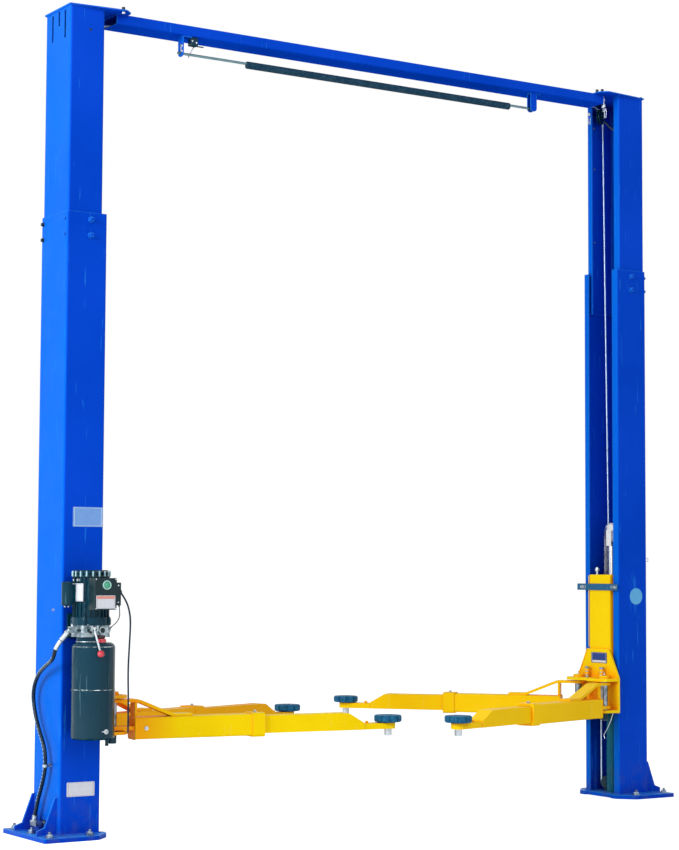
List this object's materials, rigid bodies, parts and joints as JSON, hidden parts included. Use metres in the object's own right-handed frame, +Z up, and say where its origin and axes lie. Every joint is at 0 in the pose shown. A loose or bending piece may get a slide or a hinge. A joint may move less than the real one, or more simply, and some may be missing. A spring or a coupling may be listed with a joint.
{
  "type": "two post car lift",
  "caption": "Surface-mounted two post vehicle lift with overhead beam, sliding carriages, telescoping swing arms with screw pads and a column-mounted hydraulic power unit.",
  "frame": {"origin": "on the floor, midway between the columns in X and midway between the furthest arm tips in Y", "axes": "+Z up, +X along the overhead beam away from the power unit's column, -Y the front where the power unit hangs"},
  "size_m": [3.696, 1.6827, 3.81],
  "materials": {
    "black_plastic": "matt",
    "black_rubber": "smooth",
    "blue_paint": "gloss powder coat",
    "bright_steel": "machined",
    "cast_aluminium": "cast",
    "chrome_rod": "polished",
    "dark_paint": "semi-gloss",
    "green_plastic": "gloss",
    "grey_steel": "satin",
    "pad_rubber": "moulded",
    "red_plastic": "gloss",
    "steel_rope": "oiled",
    "yellow_paint": "gloss powder coat"
  },
  "bodies": {
    "root": {"bar_hangers": "blue_paint", "base_gussets": "blue_paint", "crossbeam": "blue_paint", "equalizer_ropes": "steel_rope", "filler_cap": "red_plastic", "hose_fittings": "cast_aluminium", "hydraulic_hose": "black_rubber", "left_base_plate": "blue_paint", "left_cylinder": "dark_paint", "left_lower_column": "blue_paint", "left_upper_column": "blue_paint", "limit_switch": "dark_paint", "motor": "dark_paint", "oil_tank": "dark_paint", "power_lead": "black_rubber", "pump_manifold": "cast_aluminium", "right_base_plate": "blue_paint", "right_cylinder": "dark_paint", "right_lower_column": "blue_paint", "right_upper_column": "blue_paint", "rope_pulleys": "steel_rope", "start_button": "green_plastic", "switch_box": "black_plastic", "switch_wire": "black_rubber", "top_plates": "blue_paint", "unit_bracket": "dark_paint"},
    "left_carriage_body": {"left_arm_pins": "bright_steel", "left_arm_yoke": "yellow_paint", "left_carriage": "yellow_paint", "left_carriage_strap": "grey_steel", "left_slider_blocks": "black_plastic"},
    "right_carriage_body": {"right_arm_pins": "bright_steel", "right_arm_yoke": "yellow_paint", "right_carriage": "yellow_paint", "right_carriage_strap": "grey_steel", "right_slider_blocks": "black_plastic"},
    "left_rod_body": {"left_lift_chain": "steel_rope", "left_piston_rod": "chrome_rod"},
    "right_rod_body": {"right_lift_chain": "steel_rope", "right_piston_rod": "chrome_rod"},
    "left_front_arm_body": {"left_front_outer_arm": "yellow_paint"},
    "left_front_extension_body": {"left_front_arm_extension": "yellow_paint"},
    "left_front_pad_body": {"left_front_pad": "pad_rubber", "left_front_pad_screw": "bright_steel"},
    "left_rear_arm_body": {"left_rear_outer_arm": "yellow_paint"},
    "left_rear_extension_body": {"left_rear_arm_extension": "yellow_paint"},
    "left_rear_pad_body": {"left_rear_pad": "pad_rubber", "left_rear_pad_screw": "bright_steel"},
    "right_front_arm_body": {"right_front_outer_arm": "yellow_paint"},
    "right_front_extension_body": {"right_front_arm_extension": "yellow_paint"},
    "right_front_pad_body": {"right_front_pad": "pad_rubber", "right_front_pad_screw": "bright_steel"},
    "right_rear_arm_body": {"right_rear_outer_arm": "yellow_paint"},
    "right_rear_extension_body": {"right_rear_arm_extension": "yellow_paint"},
    "right_rear_pad_body": {"right_rear_pad": "pad_rubber", "right_rear_pad_screw": "bright_steel"},
    "shut_off_bar_body": {"shut_off_bar": "dark_paint"},
    "release_lever_body": {"release_lever": "red_plastic"}
  },
  "joints": [
    {"name": "left_carriage_slide", "type": "slide", "parent": "root", "child": "left_carriage_body", "axis": [0, 0, 1], "range_m": [-0.36, 1.4]},
    {"name": "right_carriage_slide", "type": "slide", "parent": "root", "child": "right_carriage_body", "axis": [0, 0, 1], "range_m": [-0.36, 1.4]},
    {"name": "left_rod_slide", "type": "slide", "parent": "root", "child": "left_rod_body", "axis": [0, 0, 1], "range_m": [-0.18, 0.7]},
    {"name": "right_rod_slide", "type": "slide", "parent": "root", "child": "right_rod_body", "axis": [0, 0, 1], "range_m": [-0.18, 0.7]},
    {"name": "left_front_arm_swing", "type": "hinge", "parent": "left_carriage_body", "child": "left_front_arm_body", "pos_m": [-1.462, -0.3938, 0.55], "axis": [0, 0, -1], "range_deg": [-15, 81]},
    {"name": "left_front_arm_reach", "type": "slide", "parent": "left_front_arm_body", "child": "left_front_extension_body", "axis": [0.9925, -0.1219, 0], "range_m": [-0.307, 0.153]},
    {"name": "left_front_pad_height", "type": "slide", "parent": "left_front_extension_body", "child": "left_front_pad_body", "axis": [0, 0, 1], "range_m": [0, 0.045]},
    {"name": "left_rear_arm_swing", "type": "hinge", "parent": "left_carriage_body", "child": "left_rear_arm_body", "pos_m": [-1.462, -0.1778, 0.55], "axis": [0, 0, 1], "range_deg": [-15, 69]},
    {"name": "left_rear_arm_reach", "type": "slide", "parent": "left_rear_arm_body", "child": "left_rear_extension_body", "axis": [0.9397, 0.342, 0], "range_m": [-0.356, 0.104]},
    {"name": "left_rear_pad_height", "type": "slide", "parent": "left_rear_extension_body", "child": "left_rear_pad_body", "axis": [0, 0, 1], "range_m": [0, 0.045]},
    {"name": "right_front_arm_swing", "type": "hinge", "parent": "right_carriage_body", "child": "right_front_arm_body", "pos_m": [1.462, -0.3938, 0.55], "axis": [0, 0, 1], "range_deg": [-15, 72]},
    {"name": "right_front_arm_reach", "type": "slide", "parent": "right_front_arm_body", "child": "right_front_extension_body", "axis": [-0.9563, -0.2924, 0], "range_m": [-0.192, 0.268]},
    {"name": "right_front_pad_height", "type": "slide", "parent": "right_front_extension_body", "child": "right_front_pad_body", "axis": [0, 0, 1], "range_m": [0, 0.045]},
    {"name": "right_rear_arm_swing", "type": "hinge", "parent": "right_carriage_body", "child": "right_rear_arm_body", "pos_m": [1.462, -0.1778, 0.55], "axis": [0, 0, -1], "range_deg": [-42, 42]},
    {"name": "right_rear_arm_reach", "type": "slide", "parent": "right_rear_arm_body", "child": "right_rear_extension_body", "axis": [-0.682, 0.7314, 0], "range_m": [-0.192, 0.268]},
    {"name": "right_rear_pad_height", "type": "slide", "parent": "right_rear_extension_body", "child": "right_rear_pad_body", "axis": [0, 0, 1], "range_m": [0, 0.045]},
    {"name": "shut_off_bar_lift", "type": "hinge", "parent": "root", "child": "shut_off_bar_body", "pos_m": [1.007, -0.3558, 3.672], "axis": [0, 1, 0], "range_deg": [0, 0.7]},
    {"name": "release_lever_press", "type": "hinge", "parent": "root", "child": "release_lever_body", "pos_m": [-1.68, -0.6338, 0.95], "axis": [-1, 0, 0], "range_deg": [0, 18]}
  ],
  "couplings": [
    {"joint": "right_carriage_slide", "follows": "left_carriage_slide", "ratio": 1},
    {"joint": "left_rod_slide", "follows": "left_carriage_slide", "ratio": 0.5},
    {"joint": "right_rod_slide", "follows": "left_carriage_slide", "ratio": 0.5}
  ]
}
